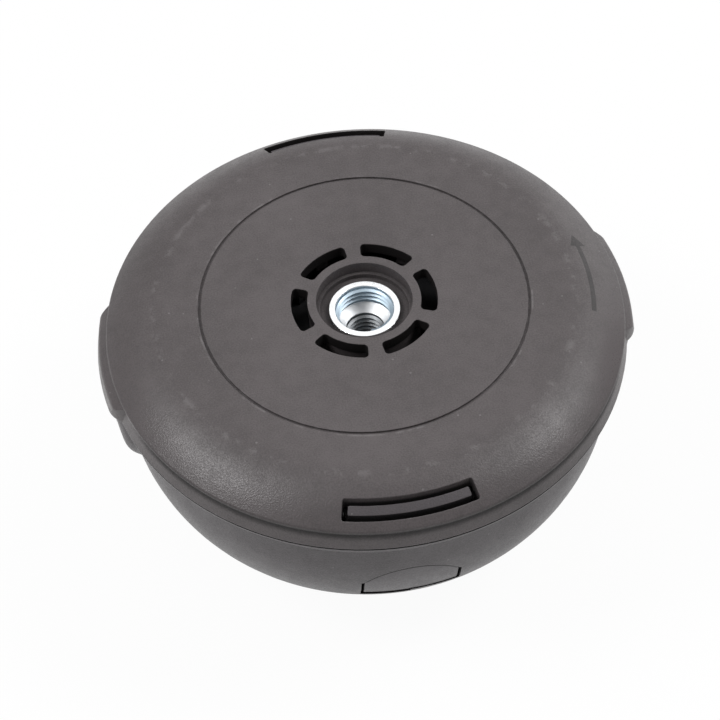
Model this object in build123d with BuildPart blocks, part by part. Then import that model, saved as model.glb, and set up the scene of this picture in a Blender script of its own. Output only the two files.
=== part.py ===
"""Bump-feed trimmer head: a moulded housing and bowl around a sprung, indexing line spool.

Millimetres, +Z up the drive axis. The origin is on the floor under the tap knob,
the line eyelets lie on the X axis and the two release latches on the Y axis.
"""

import os
from math import sqrt

from build123d import *

# Heights, from the floor up
knob_drop = 7.0
bowl_height = 41.8
rim_height = 10.2

# Upper housing
rim_radius = 54.5
rim_draft = 0.5
rim_lap = 3.4
shoulder_width = 10.5
shoulder_drop = 5.5
shoulder_crown = 0.55
shoulder_edge = 0.6
shoulder_step = 1.4
rim_groove_drop = 6.7
rim_groove_depth = 0.5
rim_groove_round = 1.5
top_wall = 2.8
seam_radius = 34.0
seam_width = 0.6
seam_depth = 0.45

# Bumps on the rim above the line eyelets
bump_reach = 1.6
bump_half_angle = 16.0
bump_drop = 7.1
bump_corner = 5.0
bump_root = 0.4
bump_edge_round = 1.2

# Cooling slots round the drive hub
slot_count = 6
slot_margin = 0.15
slot_width = 3.4
slot_half_angle = 23.3
slot_corner = 0.9

# Drive hub and the recess that it sits in
recess_wall = 1.65
recess_depth = 2.8
recess_step = 0.7
recess_step_depth = 1.2
hub_depth = 2.85
hub_shoulder = 1.1
hub_flats = 17.0
hub_hex_depth = 6.0
hub_hex_height = 4.5
hub_chamfer = 0.15
boss_wall = 1.8
boss_floor = 1.5
upper_thread_radius = 6.0
lower_thread_radius = 4.0
upper_thread_depth = 5.0
thread_cone = 1.4
spindle_radius = 6.1
spindle_gap = 2.0

# Lower bowl
bowl_inset = 2.7
bowl_lap_gap = 0.3
parting_gap = 0.4
lip_inset = 0.05
lip_height = 0.4
lip_flare_drop = 4.8
bowl_wall = 2.2
bowl_floor = 2.5
bowl_straight = 9.8
bowl_flat_margin = 0.6
knob_clearance = 0.5

# Swellings on the bowl and the line eyelets that they hold
swell_reach = 3.4
swell_taper = 0.6
swell_crown = 1.2
swell_half_width = 16.0
swell_draft = 30.0
swell_edge_round = 3.5
swell_centre_drop = 6.5
eyelet_drop = 8.5
eyelet_radius = 4.0
eyelet_bore_radius = 2.4
eyelet_flange_radius = 5.6
eyelet_flange_height = 1.4
eyelet_sink = 2.2
eyelet_sink_gap = 0.2
eyelet_tail = 0.8
eyelet_lip = 0.7

# Bump travel and the teeth that index the spool
bump_travel = 6.0
tooth_count = 6
tooth_angle = 10.0
tooth_play = 1.0
tooth_width = 4.0
feed_turn = 30.0
lower_tooth_inset = 1.0
lower_tooth_height = 3.45
upper_tooth_inset = 1.0
upper_lug_height = 3.9
tooth_tip_gap = 0.3
seat_gap = 0.05

# Line spool
spool_flange = 2.0
spool_rim_gap = 1.3
spool_foot_inset = 4.5
spool_core_gap = 0.8
spool_core_wall = 3.6
spool_web = 5.0
spool_sleeve_wall = 2.4
spool_sleeve_gap = 3.0
spool_running_gap = 0.05
line_hole_radius = 1.6
line_notch_radius = 2.2

# Bump spring and the washer under it
spring_wire = 1.6
spring_gap = 0.85
spring_turns = 6.0
washer_height = 1.0
washer_gap = 0.3

# Tap knob, its screw and the washer under the screw's head
knob_radius = 20.1
knob_wall = 2.8
knob_floor = 4.4
knob_foot_round = 4.0
knob_boss_radius = 8.0
knob_flute_count = 8
knob_flute_radius = 4.0
knob_flute_depth = 1.0
screw_radius = 2.0
screw_gap = 0.2
screw_head_radius = 4.0
screw_head_height = 2.4
screw_head_round = 0.8
screw_slot_width = 1.2
screw_slot_depth = 1.2
screw_sink = 0.8
screw_tip_gap = 0.4
screw_washer_radius = 5.4
screw_washer_height = 0.8
screw_washer_gap = 0.3

# Release latches
window_inset = 2.4
window_width = 3.9
window_half_angle = 15.3
window_corner = 0.5
rim_notch_depth = 2.9
rim_notch_margin = 1.2
bar_gap = 0.85
bar_swing_gap = 1.4
bar_side_angle = 1.3
bar_recess = 0.9
bar_corner = 0.3
bar_foot_drop = 6.4
latch_neck = 1.2
latch_pivot_inset = 3.2
latch_pivot_rise = 0.7
latch_barrel_radius = 2.2
latch_half_width = 12.5
latch_stem = 2.8
latch_stem_half_width = 8.5
latch_stem_foot = 3.0
latch_pin_radius = 1.2
latch_pin_gap = 0.05
ear_gap = 0.4
ear_wall = 2.0
ear_reach = 2.0
pocket_wall = 1.4
pocket_gap = 0.6
pocket_drop = 7.2
pad_width = 19.3
pad_height = 12.7
pad_side = 7.2
pad_drop = 12.4
pad_inset = 0.2
pad_back_step = 1.0
pad_gap = 0.3
pad_side_gap = 0.65
pad_foot_gap = 0.3
pad_notch = 1.2
latch_spring_drop = 5.0
latch_spring_radius = 2.0
latch_spring_wire = 0.45
latch_spring_turns = 3.5
latch_spring_seat = 1.6
latch_spring_gap = 0.4

# Levels that follow from the heights
parting_z = knob_drop + bowl_height
top_z = parting_z + rim_height
ceiling_z = top_z - top_wall
ledge_z = parting_z + rim_lap
floor_z = knob_drop + bowl_floor
hub_top_z = top_z - hub_depth
recess_z = top_z - recess_depth - recess_step_depth
hex_top_z = top_z - hub_hex_depth
hex_foot_z = hex_top_z - hub_hex_height
boss_foot_z = hex_foot_z - boss_floor
thread_step_z = hub_top_z - upper_thread_depth
spool_foot_z = floor_z + seat_gap + lower_tooth_height
spool_top_z = ceiling_z - upper_lug_height - tooth_tip_gap - bump_travel
spool_middle_z = (spool_foot_z + spool_top_z) / 2
web_top_z = spool_foot_z + spool_web
spindle_foot_z = web_top_z + bump_travel + spindle_gap
sleeve_top_z = boss_foot_z - bump_travel - spool_sleeve_gap
washer_foot_z = web_top_z + seat_gap
spring_foot_z = washer_foot_z + washer_height
swell_centre_z = parting_z - swell_centre_drop
eyelet_z = parting_z - eyelet_drop
pivot_z = parting_z + latch_pivot_rise
lip_z = parting_z - parting_gap
pocket_foot_z = pivot_z - pocket_drop
bar_foot_z = top_z - bar_foot_drop
pad_top_z = parting_z - pad_drop
pad_foot_z = pad_top_z - pad_height
latch_spring_z = pivot_z - latch_spring_drop
screw_seat_z = screw_sink + screw_head_height + screw_washer_height

# Radii that follow from the driving sizes
shoulder_radius = rim_radius - rim_draft
flat_radius = shoulder_radius - shoulder_width
bump_radius = rim_radius + bump_reach
bowl_radius = rim_radius - bowl_inset
lap_radius = bowl_radius + bowl_lap_gap
lip_radius = rim_radius - lip_inset
inner_rim_radius = bowl_radius - bowl_wall
knob_opening_radius = knob_radius + knob_clearance
lower_tooth_radius = knob_opening_radius + lower_tooth_inset
bowl_flat_radius = lower_tooth_radius + tooth_width + bowl_flat_margin
bowl_curve_width = bowl_radius - bowl_flat_radius
bowl_curve_height = bowl_height - bowl_straight
hub_rim_radius = hub_flats / 2 - hub_shoulder
boss_radius = hub_flats / sqrt(3) + boss_wall
recess_radius = boss_radius - recess_wall
slot_inner_radius = boss_radius + slot_margin
slot_outer_radius = slot_inner_radius + slot_width
core_bore_radius = boss_radius + spool_core_gap
spool_core_radius = core_bore_radius + spool_core_wall
upper_tooth_radius = spool_core_radius + upper_tooth_inset
sleeve_bore_radius = spindle_radius + spool_running_gap
sleeve_radius = sleeve_bore_radius + spool_sleeve_wall
spring_mean_radius = sleeve_radius + spring_gap + spring_wire / 2
swell_radius = bowl_radius + swell_reach
swell_root_radius = inner_rim_radius - bowl_wall
eyelet_seat_x = swell_radius - eyelet_sink
window_outer_radius = rim_radius - window_inset
window_inner_radius = window_outer_radius - window_width
bar_inner_radius = window_inner_radius + bar_gap
bar_outer_radius = window_outer_radius - bar_swing_gap
bar_half_angle = window_half_angle - bar_side_angle
latch_pivot_radius = window_inner_radius - latch_pivot_inset
pad_back_radius = latch_pivot_radius + pad_back_step
stem_inner_radius = latch_pivot_radius - latch_stem / 2
pocket_outer_radius = latch_pivot_radius - latch_barrel_radius - pocket_gap
pocket_inner_radius = pocket_outer_radius - pocket_wall
spool_rim_radius = pocket_inner_radius - spool_rim_gap
spool_foot_radius = spool_rim_radius - spool_foot_inset
ear_inner_x = latch_half_width + ear_gap
ear_outer_x = ear_inner_x + ear_wall
ear_outer_radius = latch_pivot_radius + ear_reach
ear_depth = ear_outer_radius - pocket_inner_radius
spring_seat_radius = stem_inner_radius + latch_spring_seat

# Angles of the teeth: the spool's rest against the bowl's lugs and stop at the housing's
bowl_lug_angle = 0.0
spool_tooth_angle = bowl_lug_angle + tooth_angle + tooth_play
housing_lug_angle = spool_tooth_angle + feed_turn + tooth_angle + tooth_play
front = -90
rear = 90

# Upright planes that face out of the head's four sides
front_face = Plane.XZ
rear_face = Plane((0, 0, 0), x_dir=(-1, 0, 0), z_dir=(0, 1, 0))
right_face = Plane.YZ
left_face = Plane((0, 0, 0), x_dir=(0, -1, 0), z_dir=(-1, 0, 0))


def ring_sector(inner, outer, centre, half_angle, corner=0.0):
    """A piece of a ring, centred on an angle, with rounded corners."""
    with BuildSketch() as sector:
        with BuildLine():
            outer_arc = CenterArc((0, 0), outer, centre - half_angle, 2 * half_angle)
            inner_arc = CenterArc((0, 0), inner, centre - half_angle, 2 * half_angle)
            Line(outer_arc @ 0, inner_arc @ 0)
            Line(outer_arc @ 1, inner_arc @ 1)
        make_face()
        if corner > 0:
            fillet(sector.vertices(), corner)
    return sector.sketch


def tooth_ring(inner, centre):
    """The ring of indexing teeth, or of the lugs that they meet, in plan."""
    with BuildSketch() as ring:
        with PolarLocations(0, tooth_count):
            add(ring_sector(inner, inner + tooth_width, centre, tooth_angle / 2))
    return ring.sketch


def housing_envelope(base_z, sink):
    """Half section of the housing's outside, filled in to the axis and lowered by a sink."""
    shoulder_foot = (shoulder_radius, top_z - shoulder_drop - sink)
    shoulder_head = (flat_radius, top_z - sink)
    groove = (shoulder_radius - rim_groove_depth, top_z - rim_groove_drop - sink)
    with BuildSketch() as section:
        with BuildLine():
            Polyline((0, base_z), (rim_radius, base_z), groove, shoulder_foot)
            SagittaArc(shoulder_foot, shoulder_head, -shoulder_crown)
            Line(shoulder_head, (0, top_z - sink))
            Line((0, top_z - sink), (0, base_z))
        make_face()
    return section.sketch


def bowl_envelope(side, base):
    """Half section of the bowl, filled in to the axis, set in by a side wall and a floor."""
    curve_centre = (bowl_flat_radius, knob_drop + bowl_curve_height)
    wall_radius = bowl_radius - side
    with BuildSketch() as section:
        with BuildLine():
            curve = EllipticalCenterArc(
                curve_centre, bowl_curve_width - side, bowl_curve_height - base, 270, arc_size=90
            )
            Line(curve @ 1, (wall_radius, ledge_z))
            Line((wall_radius, ledge_z), (0, ledge_z))
            Line((0, ledge_z), (0, knob_drop + base))
            Line((0, knob_drop + base), curve @ 0)
        make_face()
    return section.sketch


def pad_outline(gap):
    """The arched finger pad seen from the front, grown by a gap."""
    half_width = pad_width / 2 + gap
    side_z = pad_foot_z + pad_side
    with BuildSketch() as outline:
        with BuildLine():
            Polyline(
                (half_width, side_z),
                (half_width, pad_foot_z),
                (-half_width, pad_foot_z),
                (-half_width, side_z),
            )
            ThreePointArc((-half_width, side_z), (0, pad_top_z + gap), (half_width, side_z))
        make_face()
    return outline.sketch


# Rim bumps, cut from a turned rim that reaches further out
with BuildPart() as rim_bumps:
    with BuildSketch(Plane.XZ):
        with BuildLine():
            shoulder = SagittaArc(
                (shoulder_radius, top_z - shoulder_drop),
                (flat_radius, top_z),
                -shoulder_crown,
                mode=Mode.PRIVATE,
            )
            root = shoulder @ bump_root
            Polyline(
                (root.X, root.Y),
                (bump_radius - rim_draft, top_z - bump_drop),
                (bump_radius, parting_z),
                (lap_radius, parting_z),
                (lap_radius, ledge_z),
                (root.X, ledge_z),
                close=True,
            )
        make_face()
    revolve(axis=Axis.Z)
    bump_edge = rim_bumps.edges().filter_by(GeomType.CIRCLE).sort_by(SortBy.RADIUS)[-2]
    fillet(bump_edge, bump_edge_round)
    with BuildSketch(Plane.XY.offset(parting_z)):
        with PolarLocations(0, 2):
            add(ring_sector(flat_radius, bump_radius, 0, bump_half_angle, bump_corner))
    extrude(amount=rim_height, mode=Mode.INTERSECT)

# Walls under the shoulder that carry each latch's pin and back its spring
with BuildPart() as latch_pockets:
    with BuildSketch(Plane.XY.offset(pocket_foot_z)):
        with PolarLocations(0, 2):
            with Locations((0, -pocket_inner_radius)):
                Rectangle(2 * ear_outer_x, ear_depth, align=(Align.CENTER, Align.MAX))
                Rectangle(
                    2 * ear_inner_x,
                    ear_depth,
                    align=(Align.CENTER, Align.MAX),
                    mode=Mode.SUBTRACT,
                )
                Rectangle(2 * ear_outer_x, pocket_wall, align=(Align.CENTER, Align.MAX))
    extrude(amount=top_z - pocket_foot_z)
    with BuildSketch(Plane.XZ):
        add(housing_envelope(pocket_foot_z, top_wall / 2))
    revolve(axis=Axis.Z, mode=Mode.INTERSECT)
    with BuildSketch(Plane.YZ):
        with Locations((-latch_pivot_radius, pivot_z), (latch_pivot_radius, pivot_z)):
            Circle(latch_pin_radius)
    extrude(amount=ear_outer_x, both=True, mode=Mode.SUBTRACT)

# Upper housing: the moulded top, open underneath
with BuildPart() as upper_housing:
    with BuildSketch(Plane.XZ):
        add(housing_envelope(parting_z, 0))
    revolve(axis=Axis.Z)
    groove = upper_housing.edges().filter_by(GeomType.CIRCLE).sort_by(SortBy.RADIUS)[-3]
    fillet(groove, rim_groove_round)
    crease = upper_housing.edges().filter_by(GeomType.CIRCLE).sort_by(SortBy.RADIUS)[-2]
    fillet(crease, shoulder_edge)
    add(rim_bumps.part)
    with BuildSketch(Plane.XZ):
        with BuildLine():
            Polyline(
                (0, parting_z),
                (lap_radius, parting_z),
                (lap_radius, ledge_z),
                (inner_rim_radius, ledge_z),
                (inner_rim_radius, ledge_z + shoulder_step),
                (flat_radius, ceiling_z),
                (0, ceiling_z),
                close=True,
            )
        make_face()
    revolve(axis=Axis.Z, mode=Mode.SUBTRACT)
    with BuildSketch(Plane.XY.offset(ceiling_z)):
        Circle(boss_radius)
    extrude(amount=boss_foot_z - ceiling_z)
    with BuildSketch(Plane.XY.offset(ceiling_z)):
        add(tooth_ring(upper_tooth_radius, housing_lug_angle))
    extrude(amount=-upper_lug_height)
    add(latch_pockets.part)
    # Recess for the hub, and the seat that holds the hub's hexagon
    with BuildSketch(Plane.XY.offset(top_z)):
        Circle(recess_radius)
    extrude(amount=-recess_depth, mode=Mode.SUBTRACT)
    with BuildSketch(Plane.XY.offset(top_z)):
        Circle(recess_radius - recess_step)
    extrude(amount=recess_z - top_z, mode=Mode.SUBTRACT)
    with BuildSketch(Plane.XY.offset(hex_top_z)):
        Circle(hub_rim_radius)
    extrude(amount=top_z - hex_top_z, mode=Mode.SUBTRACT)
    with BuildSketch(Plane.XY.offset(hex_foot_z)):
        RegularPolygon(hub_flats / 2, 6, major_radius=False)
    extrude(amount=hub_hex_height, mode=Mode.SUBTRACT)
    with BuildSketch(Plane.XY.offset(boss_foot_z)):
        Circle(spindle_radius)
    extrude(amount=boss_floor, mode=Mode.SUBTRACT)
    # Seam groove, cooling slots and latch windows in the top
    with BuildSketch(Plane.XY.offset(top_z)):
        Circle(seam_radius + seam_width / 2)
        Circle(seam_radius - seam_width / 2, mode=Mode.SUBTRACT)
    extrude(amount=-seam_depth, mode=Mode.SUBTRACT)
    with BuildSketch(Plane.XY.offset(top_z)):
        with PolarLocations(0, slot_count):
            add(ring_sector(slot_inner_radius, slot_outer_radius, 0, slot_half_angle, slot_corner))
    extrude(amount=-2 * top_wall, mode=Mode.SUBTRACT)
    with BuildSketch(Plane.XY.offset(top_z)):
        for side in (front, rear):
            add(ring_sector(window_inner_radius, window_outer_radius, side, window_half_angle, window_corner))
    extrude(amount=-rim_height, mode=Mode.SUBTRACT)

# Threaded hub: a turned insert with a hexagon, and the spindle that the spool slides on
with BuildPart() as threaded_hub:
    with BuildSketch(Plane.XY.offset(hex_top_z)):
        Circle(hub_rim_radius)
    extrude(amount=hub_top_z - hex_top_z)
    chamfer(threaded_hub.edges().group_by(Axis.Z)[-1], hub_chamfer / 2)
    with BuildSketch(Plane.XY.offset(hex_foot_z)):
        RegularPolygon(hub_flats / 2, 6, major_radius=False)
    extrude(amount=hub_hex_height)
    with BuildSketch(Plane.XY.offset(spindle_foot_z)):
        Circle(spindle_radius)
    extrude(amount=hex_foot_z - spindle_foot_z)
    with BuildSketch(Plane.XZ):
        with BuildLine():
            Polyline(
                (0, hub_top_z),
                (upper_thread_radius + hub_chamfer, hub_top_z),
                (upper_thread_radius, hub_top_z - hub_chamfer),
                (upper_thread_radius, thread_step_z),
                (lower_thread_radius, thread_step_z - thread_cone),
                (lower_thread_radius, spindle_foot_z + hub_chamfer),
                (lower_thread_radius + hub_chamfer, spindle_foot_z),
                (0, spindle_foot_z),
                close=True,
            )
        make_face()
    revolve(axis=Axis.Z, mode=Mode.SUBTRACT)

# Swellings on the bowl's sides, under the rim bumps
with BuildPart() as eyelet_swells:
    with BuildSketch(Plane.XZ):
        with BuildLine():
            swell_head = (swell_radius, lip_z)
            swell_waist = (swell_radius - swell_taper, swell_centre_z)
            swell_foot = (inner_rim_radius, swell_centre_z - swell_half_width)
            Polyline(swell_foot, (inner_rim_radius, lip_z), swell_head, swell_waist)
            SagittaArc(swell_waist, swell_foot, swell_crown)
        make_face()
    revolve(axis=Axis.Z)
    with BuildPart(mode=Mode.INTERSECT):
        for side in (right_face, left_face):
            with BuildSketch(side.offset(swell_root_radius)):
                with Locations((0, swell_centre_z)):
                    Circle(swell_half_width)
                    Rectangle(2 * swell_half_width, swell_half_width, align=(Align.CENTER, Align.MIN))
            extrude(amount=swell_radius - swell_root_radius, taper=swell_draft)
    crown = eyelet_swells.faces().sort_by_distance((0, 0, swell_centre_z))[-4:]
    fillet(crown.edges().filter_by(GeomType.BSPLINE), swell_edge_round)

# Lower bowl: the moulded cup that closes the head
with BuildPart() as lower_bowl:
    with BuildSketch(Plane.XZ):
        add(bowl_envelope(0, 0))
    revolve(axis=Axis.Z)
    # Flared lip that meets the housing's rim
    with BuildSketch(Plane.XZ):
        with BuildLine():
            Polyline(
                (inner_rim_radius, lip_z),
                (lip_radius, lip_z),
                (lip_radius, lip_z - lip_height),
                (bowl_radius, lip_z - lip_flare_drop),
                (inner_rim_radius, lip_z - lip_flare_drop),
                close=True,
            )
        make_face()
    revolve(axis=Axis.Z)
    add(eyelet_swells.part)
    with BuildSketch(Plane.XZ):
        add(bowl_envelope(bowl_wall, bowl_floor))
    revolve(axis=Axis.Z, mode=Mode.SUBTRACT)
    with BuildSketch(Plane.XY.offset(knob_drop)):
        Circle(knob_opening_radius)
    extrude(amount=bowl_floor, mode=Mode.SUBTRACT)
    with BuildSketch(Plane.XY.offset(floor_z)):
        add(tooth_ring(lower_tooth_radius, bowl_lug_angle))
    extrude(amount=lower_tooth_height - tooth_tip_gap)
    # Notches that let the latch bars swing over the rim
    with BuildSketch(Plane.XY.offset(ledge_z)):
        for side in (front, rear):
            add(ring_sector(window_inner_radius, lap_radius, side, window_half_angle + rim_notch_margin))
    extrude(amount=-rim_notch_depth, mode=Mode.SUBTRACT)
    # Openings for the finger pads, wider at the foot, with a lever notch
    for side in (front_face, rear_face):
        with BuildSketch(side.offset(pad_back_radius - bowl_wall)):
            add(pad_outline(pad_gap))
            with Locations((0, pad_foot_z - pad_foot_gap)):
                Rectangle(
                    pad_width + 2 * pad_side_gap,
                    pad_side + pad_foot_gap,
                    align=(Align.CENTER, Align.MIN),
                )
            with Locations((0, pad_foot_z - pad_foot_gap - pad_notch)):
                Rectangle(pad_width / 2 + pad_side_gap, 2 * pad_notch, align=(Align.MAX, Align.MIN))
        extrude(amount=2 * bowl_wall + bowl_radius - pad_back_radius, mode=Mode.SUBTRACT)
    # Eyelet holes and the flats that their flanges sit on
    with BuildSketch(Plane.YZ):
        with Locations((0, eyelet_z)):
            Circle(eyelet_radius)
    extrude(amount=swell_radius, both=True, mode=Mode.SUBTRACT)
    for side in (right_face, left_face):
        with BuildSketch(side.offset(eyelet_seat_x)):
            with Locations((0, eyelet_z)):
                Circle(eyelet_flange_radius + eyelet_sink_gap)
        extrude(amount=swell_radius - eyelet_seat_x, mode=Mode.SUBTRACT)

# Line eyelets: flanged sleeves with rounded mouths
with BuildPart() as right_eyelet:
    with BuildSketch(Plane.YZ.offset(inner_rim_radius - eyelet_tail)):
        with Locations((0, eyelet_z)):
            Circle(eyelet_radius)
    extrude(amount=eyelet_seat_x - inner_rim_radius + eyelet_tail)
    with BuildSketch(Plane.YZ.offset(eyelet_seat_x)):
        with Locations((0, eyelet_z)):
            Circle(eyelet_flange_radius)
    extrude(amount=eyelet_flange_height)
    with BuildSketch(Plane.YZ):
        with Locations((0, eyelet_z)):
            Circle(eyelet_bore_radius)
    extrude(amount=2 * swell_radius, mode=Mode.SUBTRACT)
    bore_mouths = right_eyelet.edges().filter_by(GeomType.CIRCLE).group_by(SortBy.RADIUS)[0]
    fillet(bore_mouths, eyelet_lip)
    flange_edge = right_eyelet.edges().group_by(Axis.X)[-1].sort_by(SortBy.RADIUS)[-1]
    fillet(flange_edge, eyelet_flange_height / 3)

with BuildPart() as left_eyelet:
    add(right_eyelet.part, rotation=(0, 0, 180))

# Line spool: three flanges on a sprung core, with indexing teeth above and below
with BuildPart() as spool:
    with BuildSketch(Plane.XY.offset(spool_foot_z)):
        Circle(spool_core_radius)
    extrude(amount=spool_top_z - spool_foot_z)
    with BuildSketch(Plane.XY.offset(spool_foot_z)):
        Circle(spool_foot_radius)
    extrude(amount=spool_flange)
    with BuildSketch(Plane.XY.offset(spool_middle_z), Plane.XY.offset(spool_top_z - spool_flange)):
        Circle(spool_rim_radius)
        with PolarLocations(spool_rim_radius, 2):
            Circle(line_notch_radius, mode=Mode.SUBTRACT)
    extrude(amount=spool_flange)
    with BuildSketch(Plane.XY.offset(web_top_z)):
        Circle(core_bore_radius)
    extrude(amount=spool_top_z - web_top_z, mode=Mode.SUBTRACT)
    with BuildSketch(Plane.XY.offset(web_top_z)):
        Circle(sleeve_radius)
        Circle(sleeve_bore_radius, mode=Mode.SUBTRACT)
    extrude(amount=sleeve_top_z - web_top_z)
    with BuildSketch(Plane.XY.offset(spool_foot_z)):
        Circle(screw_radius)
    extrude(amount=spool_web, mode=Mode.SUBTRACT)
    with BuildSketch(Plane.XY.offset(spool_foot_z)):
        add(tooth_ring(lower_tooth_radius, spool_tooth_angle))
    extrude(amount=-lower_tooth_height)
    with BuildSketch(Plane.XY.offset(spool_top_z)):
        add(tooth_ring(upper_tooth_radius, spool_tooth_angle))
    extrude(amount=upper_lug_height - 2 * tooth_tip_gap)
    # Holes in the core that anchor the line's ends, one chamber on each side
    lower_chamber_z = (spool_foot_z + spool_flange + spool_middle_z) / 2
    upper_chamber_z = (spool_middle_z + spool_top_z) / 2
    for side, chamber_z in ((right_face, lower_chamber_z), (left_face, upper_chamber_z)):
        with BuildSketch(side.offset(core_bore_radius - spool_core_wall / 2)):
            with Locations((0, chamber_z)):
                Circle(line_hole_radius)
        extrude(amount=2 * spool_core_wall, mode=Mode.SUBTRACT)

# Thrust washer, between the spring and the turning spool
with BuildPart() as thrust_washer:
    with BuildSketch(Plane.XY.offset(washer_foot_z)):
        Circle(core_bore_radius - washer_gap)
        Circle(sleeve_radius + washer_gap, mode=Mode.SUBTRACT)
    extrude(amount=washer_height)

# Bump spring, from the washer up to the foot of the housing's boss
with BuildPart() as bump_spring:
    coil_height = boss_foot_z - spring_foot_z - spring_wire
    with BuildLine() as coil:
        Helix(
            coil_height / spring_turns,
            coil_height,
            spring_mean_radius,
            (0, 0, spring_foot_z + spring_wire / 2),
        )
    with BuildSketch(Plane(coil.line @ 0, z_dir=coil.line % 0)):
        Circle(spring_wire / 2)
    sweep(path=coil.line, is_frenet=True)

# Tap knob: a hollow foot with finger flutes, screwed up against the spool
with BuildPart() as tap_knob:
    with BuildSketch():
        Circle(knob_radius)
    extrude(amount=spool_foot_z)
    fillet(tap_knob.edges().group_by(Axis.Z)[0], knob_foot_round)
    with BuildSketch(Plane.XY.offset(knob_floor)):
        Circle(knob_radius - knob_wall)
        Circle(knob_boss_radius, mode=Mode.SUBTRACT)
    extrude(amount=spool_foot_z - knob_floor, mode=Mode.SUBTRACT)
    with BuildSketch():
        Circle(screw_washer_radius + screw_washer_gap)
    extrude(amount=screw_seat_z, mode=Mode.SUBTRACT)
    with BuildSketch():
        Circle(screw_radius + screw_gap)
    extrude(amount=spool_foot_z, mode=Mode.SUBTRACT)
    with BuildSketch():
        with PolarLocations(knob_radius + knob_flute_radius - knob_flute_depth, knob_flute_count):
            Circle(knob_flute_radius)
    extrude(amount=knob_drop, mode=Mode.SUBTRACT)

with BuildPart() as knob_washer:
    with BuildSketch(Plane.XY.offset(screw_seat_z - screw_washer_height)):
        Circle(screw_washer_radius)
        Circle(screw_radius + screw_gap, mode=Mode.SUBTRACT)
    extrude(amount=screw_washer_height)

with BuildPart() as knob_screw:
    with BuildSketch(Plane.XY.offset(screw_sink)):
        Circle(screw_head_radius)
    extrude(amount=screw_head_height)
    fillet(knob_screw.edges().group_by(Axis.Z)[0], screw_head_round)
    with BuildSketch(Plane.XY.offset(screw_sink)):
        Rectangle(2 * screw_head_radius, screw_slot_width)
    extrude(amount=screw_slot_depth, mode=Mode.SUBTRACT)
    with BuildSketch(Plane.XY.offset(screw_sink + screw_head_height)):
        Circle(screw_radius)
    extrude(amount=web_top_z - screw_tip_gap - screw_sink - screw_head_height)

# Latch bar that shows in the window in the shoulder
with BuildPart() as latch_bar:
    with BuildSketch(Plane.XY.offset(bar_foot_z)):
        add(ring_sector(bar_inner_radius, bar_outer_radius, front, bar_half_angle, bar_corner))
    extrude(amount=bar_foot_drop)
    with BuildSketch(Plane.XZ):
        add(housing_envelope(parting_z, bar_recess))
    revolve(axis=Axis.Z, mode=Mode.INTERSECT)

# Front latch: bar, stem, pivot barrel and finger pad in one rocking piece
with BuildPart() as front_latch:
    with BuildSketch(Plane.XZ.offset(pad_back_radius)):
        add(pad_outline(0))
    extrude(amount=bowl_radius - pad_back_radius)
    with BuildSketch(Plane.XZ):
        add(bowl_envelope(pad_inset, pad_inset))
    revolve(axis=Axis.Z, mode=Mode.INTERSECT)
    with BuildSketch(Plane.XZ.offset(stem_inner_radius)):
        with Locations((0, pad_foot_z + latch_stem_foot)):
            Rectangle(
                2 * latch_stem_half_width,
                bar_foot_z + latch_neck - pad_foot_z - latch_stem_foot,
                align=(Align.CENTER, Align.MIN),
            )
    extrude(amount=latch_stem)
    with BuildSketch(Plane.YZ):
        with Locations((-latch_pivot_radius, pivot_z)):
            Circle(latch_barrel_radius)
    extrude(amount=latch_half_width, both=True)
    with BuildSketch(Plane.XY.offset(bar_foot_z)):
        with Locations((0, -stem_inner_radius)):
            Rectangle(
                2 * latch_stem_half_width,
                bar_inner_radius + bar_gap - stem_inner_radius,
                align=(Align.CENTER, Align.MAX),
            )
    extrude(amount=latch_neck)
    add(latch_bar.part)
    with BuildSketch(Plane.YZ):
        with Locations((-latch_pivot_radius, pivot_z)):
            Circle(latch_pin_radius + latch_pin_gap)
    extrude(amount=latch_half_width, both=True, mode=Mode.SUBTRACT)
    with BuildSketch(Plane.XZ.offset(stem_inner_radius)):
        with Locations((0, latch_spring_z)):
            Circle(latch_spring_radius + latch_spring_gap)
    extrude(amount=latch_spring_seat, mode=Mode.SUBTRACT)

with BuildPart() as front_latch_pin:
    with BuildSketch(Plane.YZ):
        with Locations((-latch_pivot_radius, pivot_z)):
            Circle(latch_pin_radius)
    extrude(amount=ear_outer_x, both=True)

# Latch spring, between the pocket's wall and the latch's stem
with BuildPart() as front_latch_spring:
    latch_coil_height = spring_seat_radius - pocket_outer_radius - latch_spring_wire
    with BuildLine() as latch_coil:
        Helix(
            latch_coil_height / latch_spring_turns,
            latch_coil_height,
            latch_spring_radius - latch_spring_wire / 2,
            (0, -pocket_outer_radius - latch_spring_wire / 2, latch_spring_z),
            (0, -1, 0),
        )
    with BuildSketch(Plane(latch_coil.line @ 0, z_dir=latch_coil.line % 0)):
        Circle(latch_spring_wire / 2)
    sweep(path=latch_coil.line, is_frenet=True)

# The rear latch and its fittings are the front ones, turned half round
with BuildPart() as rear_latch:
    add(front_latch.part, rotation=(0, 0, 180))

with BuildPart() as rear_latch_pin:
    add(front_latch_pin.part, rotation=(0, 0, 180))

with BuildPart() as rear_latch_spring:
    add(front_latch_spring.part, rotation=(0, 0, 180))

pieces = {
    "upper_housing": upper_housing,
    "threaded_hub": threaded_hub,
    "lower_bowl": lower_bowl,
    "left_eyelet": left_eyelet,
    "right_eyelet": right_eyelet,
    "spool": spool,
    "thrust_washer": thrust_washer,
    "bump_spring": bump_spring,
    "tap_knob": tap_knob,
    "knob_screw": knob_screw,
    "knob_washer": knob_washer,
    "front_latch": front_latch,
    "front_latch_pin": front_latch_pin,
    "front_latch_spring": front_latch_spring,
    "rear_latch": rear_latch,
    "rear_latch_pin": rear_latch_pin,
    "rear_latch_spring": rear_latch_spring,
}

os.makedirs("parts", exist_ok=True)
for name, piece in pieces.items():
    piece.part.label = name
    export_step(piece.part, f"parts/{name}.step")
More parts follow.
